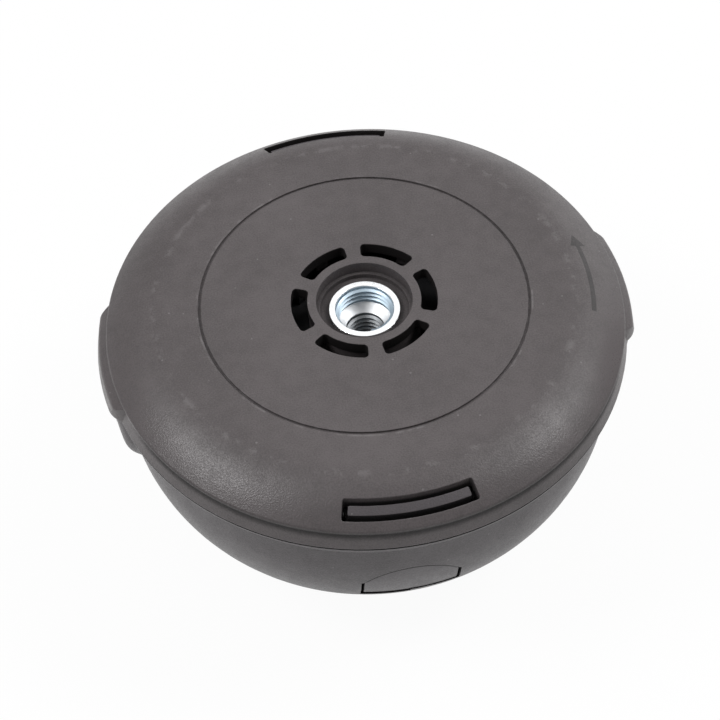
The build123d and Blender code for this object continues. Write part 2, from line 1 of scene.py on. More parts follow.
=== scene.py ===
"""Looks of a bump-feed trimmer head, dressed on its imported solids.

Metres, +Z up the drive axis. The head stands on its tap knob at the origin, with the line
eyelets on the X axis and the two release latches on the Y axis.
"""

import math

import bpy
from mathutils import Matrix, Vector


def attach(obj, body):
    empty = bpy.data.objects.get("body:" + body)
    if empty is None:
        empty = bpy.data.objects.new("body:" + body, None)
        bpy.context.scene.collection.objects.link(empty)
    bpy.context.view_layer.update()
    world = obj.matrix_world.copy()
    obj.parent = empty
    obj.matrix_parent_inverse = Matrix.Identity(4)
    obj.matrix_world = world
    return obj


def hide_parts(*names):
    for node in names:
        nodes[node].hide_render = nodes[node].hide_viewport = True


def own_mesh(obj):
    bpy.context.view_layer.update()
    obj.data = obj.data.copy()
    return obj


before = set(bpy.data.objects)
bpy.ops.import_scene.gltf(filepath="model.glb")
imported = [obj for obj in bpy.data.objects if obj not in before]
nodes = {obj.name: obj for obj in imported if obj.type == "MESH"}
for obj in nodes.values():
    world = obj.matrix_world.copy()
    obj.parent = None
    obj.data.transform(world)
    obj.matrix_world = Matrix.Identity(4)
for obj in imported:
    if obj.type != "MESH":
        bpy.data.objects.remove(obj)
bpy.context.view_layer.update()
MM = 0.001

# Sizes that the dressed pieces share with the solids, in metres
TOP_Z = 59.0 * MM
SEAM_RADIUS = 34.0 * MM
CREST_RADIUS = 43.5 * MM
RECESS_RADIUS = 10.2 * MM
CEILING_Z = 56.2 * MM
GROOVE_Z = 52.3 * MM
GROOVE_REACH = 52.6 * MM
RIM_BUMP_HALF = 15.2 * MM
LIP_Z = 48.3 * MM
PAD_ARCH = {"centre": 25.19 * MM, "radius": 11.21 * MM, "spring": 30.9 * MM, "depth": 47.0 * MM}
SLOT_INNER = 11.71 * MM
SLOT_OUTER = 15.22 * MM
UPPER_THREAD = {"root": 6.0 * MM, "foot": 51.15 * MM, "head": 56.0 * MM, "pitch": 1.25 * MM}
LOWER_THREAD = {"root": 4.0 * MM, "foot": 26.15 * MM, "head": 49.75 * MM, "pitch": 1.25 * MM}
THREAD_DEPTH = 0.6 * MM
BUMP_COIL = {
    "radius": 10.2 * MM,
    "wire": 1.6 * MM,
    "foot": 19.05 * MM,
    "head": 47.0 * MM,
    "turns": 6.0,
}
LATCH_COIL = {
    "radius": 1.775 * MM,
    "wire": 0.45 * MM,
    "inner": 42.2 * MM,
    "outer": 45.2 * MM,
    "turns": 3.5,
}
LATCH_COIL_Z = 44.5 * MM

# Camera at the photograph's angle, for a square picture 720 pixels wide
PICTURE = 720.0
FOCAL_PIXELS = 2161.0
SENSOR_MM = 36.0
AIM = Vector((0.0, 0.0, TOP_Z))
AIM_PIXEL = (364.23, 299.59)
CAMERA_DISTANCE = 0.4449
AZIMUTH = math.radians(-8.4)
ELEVATION = math.radians(50.385)
ROLL = math.radians(-2.3816)


def set_camera():
    """A camera that puts the aim point on its pixel, at the photograph's angle and roll."""
    back = Vector(
        (
            math.sin(AZIMUTH) * math.cos(ELEVATION),
            -math.cos(AZIMUTH) * math.cos(ELEVATION),
            math.sin(ELEVATION),
        )
    )
    level = Vector((math.cos(AZIMUTH), math.sin(AZIMUTH), 0.0))
    upright = back.cross(level)
    right = level * math.cos(ROLL) + upright * math.sin(ROLL)
    up = upright * math.cos(ROLL) - level * math.sin(ROLL)
    ahead = Vector((0.0, 0.0, -1.0))
    sight = Vector(
        (
            (AIM_PIXEL[0] - PICTURE / 2) / FOCAL_PIXELS,
            (PICTURE / 2 - AIM_PIXEL[1]) / FOCAL_PIXELS,
            -1.0,
        )
    )
    swing = ahead.rotation_difference(sight).to_matrix()
    turned = (swing @ Matrix((right, up, back))).transposed().to_4x4()
    lens = bpy.data.cameras.new("photo_camera")
    lens.sensor_width = SENSOR_MM
    lens.lens = FOCAL_PIXELS / PICTURE * SENSOR_MM
    lens.clip_start = 0.01
    camera = bpy.data.objects.new("photo_camera", lens)
    camera.matrix_world = Matrix.Translation(AIM + back * CAMERA_DISTANCE) @ turned
    bpy.context.scene.collection.objects.link(camera)
    bpy.context.scene.camera = camera


set_camera()


# Node helpers
def put(tree, kind, inputs=None, **settings):
    """Adds a node, sets its properties, and sets or links its inputs by name or number."""
    made = tree.nodes.new(kind)
    for key, value in settings.items():
        setattr(made, key, value)
    for key, value in (inputs or {}).items():
        if isinstance(value, bpy.types.NodeSocket):
            tree.links.new(value, made.inputs[key])
        else:
            made.inputs[key].default_value = value
    return made


def calc(tree, operation, *values):
    """One Math node's result."""
    return put(tree, "ShaderNodeMath", dict(enumerate(values)), operation=operation).outputs[0]


def ramp(tree, value, low, high, start=0.0, end=1.0):
    """A value taken smoothly from one span to another, and held at the ends."""
    spans = {0: value, 1: low, 2: high, 3: start, 4: end}
    return put(tree, "ShaderNodeMapRange", spans, interpolation_type="SMOOTHSTEP").outputs[0]


def tint(tree, share, first, second):
    """A colour between two others."""
    return put(tree, "ShaderNodeMix", {0: share, 6: first, 7: second}, data_type="RGBA").outputs[2]


def rgb(red, green, blue):
    return (red, green, blue, 1.0)


def reach_from_axis(tree, place):
    """How far a spot lies from the drive axis."""
    flat = put(tree, "ShaderNodeVectorMath", {0: place, 1: (1.0, 1.0, 0.0)}, operation="MULTIPLY")
    return put(tree, "ShaderNodeVectorMath", {0: flat.outputs[0]}, operation="LENGTH").outputs["Value"]


def new_group(name, inputs, outputs):
    """An empty shader group with named sockets, and its two ends."""
    tree = bpy.data.node_groups.new(name, "ShaderNodeTree")
    for label, value in inputs.items():
        socket = tree.interface.new_socket(label, in_out="INPUT", socket_type="NodeSocketFloat")
        socket.default_value = value
    for label, kind in outputs.items():
        tree.interface.new_socket(label, in_out="OUTPUT", socket_type=kind)
    entry = tree.nodes.new("NodeGroupInput").outputs
    exit_end = tree.nodes.new("NodeGroupOutput").inputs
    return tree, entry, exit_end


def use(tree, group, **values):
    """Places a shader group in a tree with its own values."""
    made = tree.nodes.new("ShaderNodeGroup")
    made.node_tree = group
    for key, value in values.items():
        made.inputs[key.replace("_", " ").title()].default_value = value
    return made.outputs


# Shader groups that several finishes share
def make_moulded_grain():
    """The fine spark-eroded grain of a moulding, its mottle and its slow drift in tone."""
    tree, entry, result = new_group(
        "moulded_grain",
        {"Scale": 3000.0, "Mottle": 320.0, "Drift": 35.0},
        {"Tone": "NodeSocketFloat", "Height": "NodeSocketFloat"},
    )
    place = put(tree, "ShaderNodeTexCoord").outputs["Object"]
    tone = 0.0
    shares = {"Drift": 0.3, "Mottle": 0.2, "Scale": 0.5}
    for size, share in shares.items():
        layer = put(tree, "ShaderNodeTexNoise", {"Vector": place, "Scale": entry[size], "Detail": 4.0})
        tone = calc(tree, "ADD", tone, calc(tree, "MULTIPLY", layer.outputs[0], share))
    tree.links.new(tone, result["Tone"])
    tree.links.new(layer.outputs[0], result["Height"])
    return tree


def make_edge_wear():
    """Where an edge is worn, and the normal of an edge that isn't quite sharp."""
    tree, entry, result = new_group(
        "edge_wear",
        {"Width": 0.0003, "Grit": 420.0},
        {"Mask": "NodeSocketFloat", "Normal": "NodeSocketVector"},
    )
    soft = put(tree, "ShaderNodeBevel", {"Radius": entry["Width"]}, samples=6).outputs[0]
    true = put(tree, "ShaderNodeNewGeometry").outputs["Normal"]
    agree = put(tree, "ShaderNodeVectorMath", {0: soft, 1: true}, operation="DOT_PRODUCT").outputs["Value"]
    turn = ramp(tree, agree, 0.99, 0.86)
    place = put(tree, "ShaderNodeTexCoord").outputs["Object"]
    crumbs = {"Vector": place, "Scale": entry["Grit"], "Detail": 3.0}
    grit = put(tree, "ShaderNodeTexNoise", crumbs).outputs[0]
    mask = calc(tree, "MULTIPLY", turn, ramp(tree, grit, 0.5, 0.68))
    tree.links.new(mask, result["Mask"])
    tree.links.new(soft, result["Normal"])
    return tree


def make_crevice_shade():
    """How far a spot is closed in by what stands around it, where shade is painted into the colour."""
    tree, entry, result = new_group(
        "crevice_shade",
        {"Reach": 0.003, "Open": 0.78, "Shut": 0.35},
        {"Mask": "NodeSocketFloat"},
    )
    clear = put(tree, "ShaderNodeAmbientOcclusion", {"Distance": entry["Reach"]}, samples=8)
    painted_shade = ramp(tree, clear.outputs["AO"], entry["Open"], entry["Shut"])
    tree.links.new(painted_shade, result["Mask"])
    return tree


def make_level_band():
    """A soft band at one height, beyond a reach from the drive axis and clear of the X axis."""
    tree, entry, result = new_group(
        "level_band",
        {"Level": 0.052, "Half": 0.001, "Reach": 0.052, "Clear": -1.0, "Fade": 0.012},
        {"Mask": "NodeSocketFloat"},
    )
    place = put(tree, "ShaderNodeTexCoord").outputs["Object"]
    along = put(tree, "ShaderNodeSeparateXYZ", {0: place}).outputs
    off = calc(tree, "ABSOLUTE", calc(tree, "SUBTRACT", along["Z"], entry["Level"]))
    band = ramp(tree, calc(tree, "DIVIDE", off, entry["Half"]), 1.0, 0.0)
    beyond = calc(tree, "GREATER_THAN", reach_from_axis(tree, place), entry["Reach"])
    aside = calc(tree, "SUBTRACT", calc(tree, "ABSOLUTE", along["Y"]), entry["Clear"])
    aside = ramp(tree, calc(tree, "DIVIDE", aside, entry["Fade"]), 0.0, 1.0)
    mask = calc(tree, "MULTIPLY", band, calc(tree, "MULTIPLY", beyond, aside))
    tree.links.new(mask, result["Mask"])
    return tree


def make_slot_well():
    """The walls of the cooling slots, between two radii and two heights."""
    tree, entry, result = new_group(
        "slot_well",
        {"Inner": 0.012, "Outer": 0.016, "Foot": 0.056, "Head": 0.0588},
        {"Mask": "NodeSocketFloat"},
    )
    place = put(tree, "ShaderNodeTexCoord").outputs["Object"]
    height = put(tree, "ShaderNodeSeparateXYZ", {0: place}).outputs["Z"]
    reach = reach_from_axis(tree, place)
    mask = calc(tree, "GREATER_THAN", reach, entry["Inner"])
    mask = calc(tree, "MULTIPLY", mask, calc(tree, "LESS_THAN", reach, entry["Outer"]))
    mask = calc(tree, "MULTIPLY", mask, calc(tree, "GREATER_THAN", height, entry["Foot"]))
    mask = calc(tree, "MULTIPLY", mask, calc(tree, "LESS_THAN", height, entry["Head"]))
    tree.links.new(mask, result["Mask"])
    return tree


def make_pad_edge():
    """The arched upper edge of a finger pad, seen along the Y axis."""
    tree, entry, result = new_group(
        "pad_edge",
        {"Centre": 0.025, "Radius": 0.011, "Width": 0.0005, "Spring": 0.031, "Depth": 0.046},
        {"Mask": "NodeSocketFloat"},
    )
    place = put(tree, "ShaderNodeTexCoord").outputs["Object"]
    along = put(tree, "ShaderNodeSeparateXYZ", {0: place}).outputs
    rise = calc(tree, "SUBTRACT", along["Z"], entry["Centre"])
    reach = put(tree, "ShaderNodeCombineXYZ", {"X": along["X"], "Z": rise}).outputs[0]
    reach = put(tree, "ShaderNodeVectorMath", {0: reach}, operation="LENGTH").outputs["Value"]
    short = calc(tree, "SUBTRACT", entry["Radius"], reach)
    near = ramp(tree, calc(tree, "DIVIDE", short, entry["Width"]), 1.0, 0.3)
    arched = calc(tree, "GREATER_THAN", along["Z"], entry["Spring"])
    outside = calc(tree, "GREATER_THAN", calc(tree, "ABSOLUTE", along["Y"]), entry["Depth"])
    onpad = calc(tree, "MULTIPLY", arched, calc(tree, "LESS_THAN", rise, entry["Radius"]))
    mask = calc(tree, "MULTIPLY", near, calc(tree, "MULTIPLY", onpad, outside))
    tree.links.new(mask, result["Mask"])
    return tree


def make_dust_specks():
    """A scatter of small pale specks."""
    tree, entry, result = new_group(
        "dust_specks",
        {"Scale": 700.0, "Size": 0.16, "Share": 0.03},
        {"Mask": "NodeSocketFloat"},
    )
    place = put(tree, "ShaderNodeTexCoord").outputs["Object"]
    cells = put(tree, "ShaderNodeTexVoronoi", {"Vector": place, "Scale": entry["Scale"]})
    chosen = put(tree, "ShaderNodeSeparateColor", {0: cells.outputs["Color"]}).outputs[0]
    kept = calc(tree, "LESS_THAN", chosen, entry["Share"])
    near = calc(tree, "LESS_THAN", cells.outputs["Distance"], entry["Size"])
    tree.links.new(calc(tree, "MULTIPLY", kept, near), result["Mask"])
    return tree


def make_ring_scuff():
    """Broken scuffing along a ring about the drive axis."""
    tree, entry, result = new_group(
        "ring_scuff",
        {"Radius": 0.034, "Width": 0.0005, "Grit": 160.0, "Bare": 0.52},
        {"Mask": "NodeSocketFloat"},
    )
    place = put(tree, "ShaderNodeTexCoord").outputs["Object"]
    reach = reach_from_axis(tree, place)
    off = calc(tree, "ABSOLUTE", calc(tree, "SUBTRACT", reach, entry["Radius"]))
    band = ramp(tree, calc(tree, "DIVIDE", off, entry["Width"]), 1.0, 0.0)
    coarse = {"Vector": place, "Scale": entry["Grit"], "Detail": 6.0, "Roughness": 0.7}
    grit = put(tree, "ShaderNodeTexNoise", coarse)
    broken = ramp(tree, calc(tree, "SUBTRACT", grit.outputs[0], entry["Bare"]), 0.0, 0.1)
    tree.links.new(calc(tree, "MULTIPLY", band, broken), result["Mask"])
    return tree


def make_turn_arrow():
    """A plain arrow round the shoulder that shows which way the head turns."""
    tree, entry, result = new_group(
        "turn_arrow",
        {"Radius": 0.0472, "Band": 0.0005, "Start": -0.24, "End": 0.21, "Head": 0.07, "Barb": 0.0017},
        {"Mask": "NodeSocketFloat"},
    )
    place = put(tree, "ShaderNodeTexCoord").outputs["Object"]
    along = put(tree, "ShaderNodeSeparateXYZ", {0: place}).outputs
    angle = calc(tree, "ARCTAN2", along["Y"], along["X"])
    reach = reach_from_axis(tree, place)
    off = calc(tree, "ABSOLUTE", calc(tree, "SUBTRACT", reach, entry["Radius"]))
    left = calc(tree, "DIVIDE", calc(tree, "SUBTRACT", entry["End"], angle), entry["Head"])
    ahead = calc(tree, "GREATER_THAN", left, 0.0)
    in_head = calc(tree, "MULTIPLY", ahead, calc(tree, "LESS_THAN", left, 1.0))
    barb = calc(tree, "LESS_THAN", off, calc(tree, "MULTIPLY", left, entry["Barb"]))
    behind = calc(tree, "GREATER_THAN", left, 0.99)
    in_shaft = calc(tree, "MULTIPLY", behind, calc(tree, "GREATER_THAN", angle, entry["Start"]))
    head = calc(tree, "MULTIPLY", in_head, barb)
    shaft = calc(tree, "MULTIPLY", in_shaft, calc(tree, "LESS_THAN", off, entry["Band"]))
    tree.links.new(calc(tree, "MAXIMUM", head, shaft), result["Mask"])
    return tree


def make_turned_rings():
    """The fine rings that a lathe tool leaves about the drive axis."""
    tree, entry, result = new_group(
        "turned_rings",
        {"Pitch": 0.00018},
        {"Height": "NodeSocketFloat"},
    )
    place = put(tree, "ShaderNodeTexCoord").outputs["Object"]
    reach = reach_from_axis(tree, place)
    turns = calc(tree, "DIVIDE", calc(tree, "MULTIPLY", reach, 2 * math.pi), entry["Pitch"])
    tree.links.new(calc(tree, "SINE", turns), result["Height"])
    return tree


def make_bore_zone():
    """The wall of one of the hub's two bores, from its foot up and out to its radius."""
    tree, entry, result = new_group(
        "bore_zone",
        {"Radius": 0.006, "Foot": 0.05, "Slack": 0.00008},
        {"Mask": "NodeSocketFloat"},
    )
    place = put(tree, "ShaderNodeTexCoord").outputs["Object"]
    height = put(tree, "ShaderNodeSeparateXYZ", {0: place}).outputs["Z"]
    edge = calc(tree, "ADD", entry["Radius"], entry["Slack"])
    within = calc(tree, "LESS_THAN", reach_from_axis(tree, place), edge)
    above = calc(tree, "GREATER_THAN", height, entry["Foot"])
    tree.links.new(calc(tree, "MULTIPLY", within, above), result["Mask"])
    return tree


moulded_grain = make_moulded_grain()
edge_wear = make_edge_wear()
crevice_shade = make_crevice_shade()
level_band = make_level_band()
slot_well = make_slot_well()
pad_edge = make_pad_edge()
dust_specks = make_dust_specks()
ring_scuff = make_ring_scuff()
turn_arrow = make_turn_arrow()
turned_rings = make_turned_rings()
bore_zone = make_bore_zone()


# Strengths of the marks on the mouldings, from 0 to 1, painted shade and painted highlight among them, and
# the relief that softens the crest
GRAIN_RELIEF = 0.3
RUBBED_SHARE = 0.2
# Painted shade: how dark the closed-in places are painted, and how much that shade dulls them
CREVICE_SHADE_SHARE = 0.92
CREVICE_DULL = 0.4
SEAM_RUB = 0.17
SEAM_SHADE = 0.1
CREST_RUB = 0.11
CREST_DULL = 0.14
CREST_ROUND = 3.2 * MM
CREST_RELIEF = 1.2
ARROW_SHADE = 0.75
GROOVE_DULL = 0.4
RECESS_SHADE = 0.2
LIP_HIGHLIGHT = 0.3
ARCH_SHADE = 0.85

# Strengths of the marks on the metal
METAL_RELIEF = 0.1
RING_RELIEF = 0.12
BORE_DULL = 0.28
METAL_EDGE = 0.08 * MM

# Colours of wear and of a painted highlight, of painted shade, and of the hub's threads, the lower one
# painted darker as shade
WORN_AND_HIGHLIGHT = rgb(0.36, 0.35, 0.35)
CREVICE_SHADE = rgb(0.008, 0.007, 0.007)
BLUED_THREAD = rgb(0.50, 0.60, 0.68)
SHADED_LOWER_THREAD = rgb(0.28, 0.29, 0.30)


# Finishes
def new_finish(name, **constant):
    """A material with a bare Principled shader, and the values that are the same all over it."""
    material = bpy.data.materials.new(name)
    material.use_nodes = True
    tree = material.node_tree
    shader = tree.nodes["Principled BSDF"]
    for key, value in constant.items():
        shader.inputs[key.replace("_", " ")].default_value = value
    return material, tree, shader


def moulded_finish(name, dark, light, rough, edge_width, marks=None):
    """Grained moulded plastic with worn edges, painted shade where it is closed in, and a little dust."""
    material, tree, shader = new_finish(name, Specular_IOR_Level=0.45)
    grain = use(tree, moulded_grain)
    wear = use(tree, edge_wear, width=edge_width)
    specks = use(tree, dust_specks)["Mask"]
    painted_shade = use(tree, crevice_shade)["Mask"]
    look = {"painted_shade": painted_shade, "dull": calc(tree, "MULTIPLY", painted_shade, CREVICE_DULL)}
    look["wear_and_highlight"] = calc(tree, "MULTIPLY", calc(tree, "MAXIMUM", wear["Mask"], specks), RUBBED_SHARE)
    look["height"] = calc(tree, "MULTIPLY", grain["Height"], GRAIN_RELIEF)
    if marks:
        marks(tree, look)
    colour = tint(tree, ramp(tree, grain["Tone"], 0.36, 0.64), dark, light)
    # Worn edges and dust lighten the colour, and so does the painted highlight on the bowl's lip
    colour = tint(tree, look["wear_and_highlight"], colour, WORN_AND_HIGHLIGHT)
    # Painted shade: closed-in places, the groove, the slot walls, the pad's arch and the arrow are painted
    # towards near black
    colour = tint(tree, calc(tree, "MULTIPLY", look["painted_shade"], CREVICE_SHADE_SHARE), colour, CREVICE_SHADE)
    rough_map = ramp(tree, grain["Tone"], 0.3, 0.7, rough + 0.1, rough - 0.1)
    rough_map = calc(tree, "ADD", rough_map, look["dull"])
    relief = {"Strength": 0.6, "Distance": 0.3 * MM, "Height": look["height"], "Normal": wear["Normal"]}
    bump = put(tree, "ShaderNodeBump", relief)
    tree.links.new(colour, shader.inputs["Base Color"])
    tree.links.new(rough_map, shader.inputs["Roughness"])
    tree.links.new(bump.outputs[0], shader.inputs["Normal"])
    return material


def lay(tree, look, part, mask, share):
    """Adds a mark to one part of a look, where it's stronger than what is there."""
    look[part] = calc(tree, "MAXIMUM", look[part], calc(tree, "MULTIPLY", mask, share))


def soften_crest(tree, look, reach):
    """Relief that takes the edge off the crest between the flat top and the shoulder."""
    off = calc(tree, "ABSOLUTE", calc(tree, "SUBTRACT", reach, CREST_RADIUS))
    near = calc(tree, "MAXIMUM", calc(tree, "SUBTRACT", 1.0, calc(tree, "DIVIDE", off, CREST_ROUND)), 0.0)
    sink = calc(tree, "MULTIPLY", calc(tree, "POWER", near, 2.0), CREST_RELIEF)
    look["height"] = calc(tree, "SUBTRACT", look["height"], sink)


def thin_painted_shade(tree, look, reach):
    """Less painted shade in the hub's recess and in the seam, where the housing stays pale."""
    outside = ramp(tree, reach, RECESS_RADIUS - 0.5 * MM, RECESS_RADIUS, RECESS_SHADE, 1.0)
    from_seam = calc(tree, "ABSOLUTE", calc(tree, "SUBTRACT", reach, SEAM_RADIUS))
    off_seam = ramp(tree, from_seam, 0.6 * MM, 0.9 * MM, SEAM_SHADE, 1.0)
    look["painted_shade"] = calc(tree, "MULTIPLY", look["painted_shade"], calc(tree, "MULTIPLY", outside, off_seam))


def housing_marks(tree, look):
    """Scuffs by the seam and the crest, the turn arrow with painted shade in it, and painted shade in the
    groove and the slots.
    """
    seam = use(tree, ring_scuff, radius=SEAM_RADIUS + 0.55 * MM, width=0.35 * MM)["Mask"]
    crest = use(tree, ring_scuff, radius=CREST_RADIUS, width=1.2 * MM, grit=320.0, bare=0.5)["Mask"]
    arrow = use(tree, turn_arrow)["Mask"]
    groove = use(
        tree, level_band, level=GROOVE_Z, half=1.8 * MM, reach=GROOVE_REACH, clear=RIM_BUMP_HALF
    )["Mask"]
    wells = use(
        tree, slot_well, inner=SLOT_INNER, outer=SLOT_OUTER, foot=CEILING_Z, head=TOP_Z - 0.15 * MM
    )["Mask"]
    lay(tree, look, "wear_and_highlight", seam, SEAM_RUB)
    lay(tree, look, "wear_and_highlight", crest, CREST_RUB)
    # Painted shade in the turn arrow, whose recess exists only in the relief
    lay(tree, look, "painted_shade", arrow, ARROW_SHADE)
    # Painted shade in the groove under the shoulder
    lay(tree, look, "painted_shade", groove, 1.0)
    lay(tree, look, "dull", groove, GROOVE_DULL)
    # Painted shade on the walls of the cooling slots
    lay(tree, look, "painted_shade", wells, 1.0)
    look["height"] = calc(tree, "SUBTRACT", look["height"], arrow)
    place = put(tree, "ShaderNodeTexCoord").outputs["Object"]
    reach = reach_from_axis(tree, place)
    inward = ramp(tree, reach, CREST_RADIUS + 7.5 * MM, CREST_RADIUS + 1.0 * MM)
    look["dull"] = calc(tree, "ADD", look["dull"], calc(tree, "MULTIPLY", inward, CREST_DULL))
    soften_crest(tree, look, reach)
    thin_painted_shade(tree, look, reach)


def bowl_marks(tree, look):
    """A painted highlight along the lip under the parting gap."""
    lip = use(tree, level_band, level=LIP_Z, half=0.45 * MM, reach=GROOVE_REACH)["Mask"]
    lay(tree, look, "wear_and_highlight", lip, LIP_HIGHLIGHT)


def latch_marks(tree, look):
    """Painted shade along the arched gap at the edge of the finger pad, which is also sunk in the relief.
    """
    arch = use(tree, pad_edge, **PAD_ARCH)["Mask"]
    lay(tree, look, "painted_shade", arch, ARCH_SHADE)
    look["height"] = calc(tree, "SUBTRACT", look["height"], arch)


def metal_finish(name, dark, light, rough, ringed=False, bored=False):
    """Plated or bright metal with a faint mottle, turned rings and soft edges."""
    material, tree, shader = new_finish(name, Metallic=1.0)
    grain = use(tree, moulded_grain, scale=700.0, mottle=250.0, drift=120.0)
    wear = use(tree, edge_wear, width=METAL_EDGE)
    colour = tint(tree, ramp(tree, grain["Tone"], 0.3, 0.7), dark, light)
    height = calc(tree, "MULTIPLY", grain["Height"], METAL_RELIEF)
    rough_map = ramp(tree, grain["Tone"], 0.3, 0.7, rough + 0.06, rough - 0.05)
    if ringed:
        rings = use(tree, turned_rings)
        height = calc(tree, "ADD", height, calc(tree, "MULTIPLY", rings["Height"], RING_RELIEF))
    if bored:
        upper = use(tree, bore_zone, radius=UPPER_THREAD["root"], foot=UPPER_THREAD["foot"])
        lower = use(tree, bore_zone, radius=LOWER_THREAD["root"], foot=LOWER_THREAD["foot"])
        colour = tint(tree, upper["Mask"], colour, BLUED_THREAD)
        # Painted shade: the lower bore, deep in the hub, is painted darker
        colour = tint(tree, lower["Mask"], colour, SHADED_LOWER_THREAD)
        inside = use(tree, bore_zone, radius=UPPER_THREAD["root"], foot=LOWER_THREAD["foot"])
        rough_map = calc(tree, "ADD", rough_map, calc(tree, "MULTIPLY", inside["Mask"], BORE_DULL))
    relief = {"Strength": 0.2, "Distance": 0.05 * MM, "Height": height, "Normal": wear["Normal"]}
    bump = put(tree, "ShaderNodeBump", relief)
    tree.links.new(colour, shader.inputs["Base Color"])
    tree.links.new(rough_map, shader.inputs["Roughness"])
    tree.links.new(bump.outputs[0], shader.inputs["Normal"])
    return material


housing_finish = moulded_finish(
    "charcoal_housing", rgb(0.064, 0.056, 0.057), rgb(0.095, 0.083, 0.085), 0.34, 0.3 * MM, housing_marks
)
bowl_finish = moulded_finish(
    "charcoal_bowl", rgb(0.052, 0.046, 0.049), rgb(0.075, 0.066, 0.070), 0.38, 0.25 * MM, bowl_marks
)
latch_finish = moulded_finish(
    "charcoal_latch", rgb(0.062, 0.055, 0.059), rgb(0.085, 0.076, 0.081), 0.38, 0.25 * MM, latch_marks
)
knob_finish = moulded_finish(
    "black_knob", rgb(0.040, 0.038, 0.039), rgb(0.056, 0.053, 0.055), 0.48, 0.4 * MM
)
spool_finish = moulded_finish(
    "black_spool", rgb(0.024, 0.024, 0.026), rgb(0.034, 0.034, 0.036), 0.4, 0.3 * MM
)
hub_finish = metal_finish(
    "zinc_hub", rgb(0.78, 0.79, 0.80), rgb(0.88, 0.89, 0.90), 0.24, ringed=True, bored=True
)
zinc_finish = metal_finish("zinc_plate", rgb(0.74, 0.76, 0.79), rgb(0.90, 0.91, 0.92), 0.26, ringed=True)
alloy_finish = metal_finish("bright_alloy", rgb(0.74, 0.74, 0.75), rgb(0.86, 0.86, 0.87), 0.24)
wire_finish = metal_finish("drawn_wire", rgb(0.34, 0.34, 0.35), rgb(0.46, 0.46, 0.47), 0.34)

FINISHES = {
    housing_finish: ["upper_housing"],
    bowl_finish: ["lower_bowl"],
    latch_finish: ["front_latch", "rear_latch"],
    knob_finish: ["tap_knob"],
    spool_finish: ["spool"],
    hub_finish: ["threaded_hub"],
    zinc_finish: ["thrust_washer", "knob_screw", "knob_washer"],
    alloy_finish: ["left_eyelet", "right_eyelet"],
    wire_finish: ["front_latch_pin", "rear_latch_pin"],
}
for finish, names in FINISHES.items():
    for name in names:
        nodes[name].data.materials.clear()
        nodes[name].data.materials.append(finish)


# Screw threads and springs: a section swept along a helix
def make_wound_section():
    """Geometry Nodes that wind a section of few or many sides up a helix."""
    tree = bpy.data.node_groups.new("wound_section", "GeometryNodeTree")
    sockets = {
        "Radius": "NodeSocketFloat",
        "Height": "NodeSocketFloat",
        "Turns": "NodeSocketFloat",
        "Steps": "NodeSocketInt",
        "Section Radius": "NodeSocketFloat",
        "Section Sides": "NodeSocketInt",
        "Right Hand": "NodeSocketBool",
        "Lean": "NodeSocketVector",
        "Place": "NodeSocketVector",
        "Finish": "NodeSocketMaterial",
    }
    tree.interface.new_socket("Geometry", in_out="OUTPUT", socket_type="NodeSocketGeometry")
    for label, kind in sockets.items():
        tree.interface.new_socket(label, in_out="INPUT", socket_type=kind)
    entry = tree.nodes.new("NodeGroupInput").outputs
    helix = put(
        tree,
        "GeometryNodeCurveSpiral",
        {
            "Resolution": entry["Steps"],
            "Rotations": entry["Turns"],
            "Start Radius": entry["Radius"],
            "End Radius": entry["Radius"],
            "Height": entry["Height"],
            "Reverse": entry["Right Hand"],
        },
    )
    upright = put(tree, "GeometryNodeSetCurveNormal", {"Curve": helix.outputs[0]}, mode="Z_UP")
    section = put(
        tree,
        "GeometryNodeCurvePrimitiveCircle",
        {"Resolution": entry["Section Sides"], "Radius": entry["Section Radius"]},
    )
    swept = put(
        tree,
        "GeometryNodeCurveToMesh",
        {"Curve": upright.outputs[0], "Profile Curve": section.outputs["Curve"], "Fill Caps": True},
    )
    placed = put(
        tree,
        "GeometryNodeTransform",
        {"Geometry": swept.outputs[0], "Translation": entry["Place"], "Rotation": entry["Lean"]},
    )
    real = put(tree, "GeometryNodeRealizeInstances", {"Geometry": placed.outputs[0]})
    done = put(tree, "GeometryNodeSetMaterial", {"Geometry": real.outputs[0], "Material": entry["Finish"]})
    exit_end = tree.nodes.new("NodeGroupOutput")
    tree.links.new(done.outputs[0], exit_end.inputs[0])
    return tree


wound_section = make_wound_section()
wound_sockets = {
    item.name: item.identifier for item in wound_section.interface.items_tree if item.in_out == "INPUT"
}


def wind(name, smooth, values):
    """A plain mesh wound by the tree, at the origin."""
    blank = bpy.data.meshes.new(name)
    piece = bpy.data.objects.new(name, blank)
    bpy.context.scene.collection.objects.link(piece)
    winding = piece.modifiers.new("winding", "NODES")
    winding.node_group = wound_section
    for label, value in values.items():
        winding[wound_sockets[label]] = value
    bpy.context.view_layer.update()
    seen = piece.evaluated_get(bpy.context.evaluated_depsgraph_get())
    piece.data = bpy.data.meshes.new_from_object(seen)
    piece.data.name = name
    piece.modifiers.remove(winding)
    piece.data.shade_smooth()
    if not smooth:
        piece.data.set_sharp_from_angle(angle=math.radians(40))
    bpy.data.meshes.remove(blank)
    return piece


def thread_ridge(name, thread):
    """The left-hand ridge of an internal screw thread, rooted just inside the bore's wall."""
    section = THREAD_DEPTH / 1.5
    height = thread["head"] - thread["foot"] - 2 * section
    ridge = wind(
        name,
        False,
        {
            "Radius": thread["root"] - THREAD_DEPTH + section,
            "Height": height,
            "Turns": height / thread["pitch"],
            "Steps": 72,
            "Section Radius": section,
            "Section Sides": 3,
            "Right Hand": False,
            "Lean": (0.0, 0.0, 0.0),
            "Place": (0.0, 0.0, thread["foot"] + section),
            "Finish": hub_finish,
        },
    )
    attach(ridge, "housing")


thread_ridge("upper_thread_ridge", UPPER_THREAD)
thread_ridge("lower_thread_ridge", LOWER_THREAD)


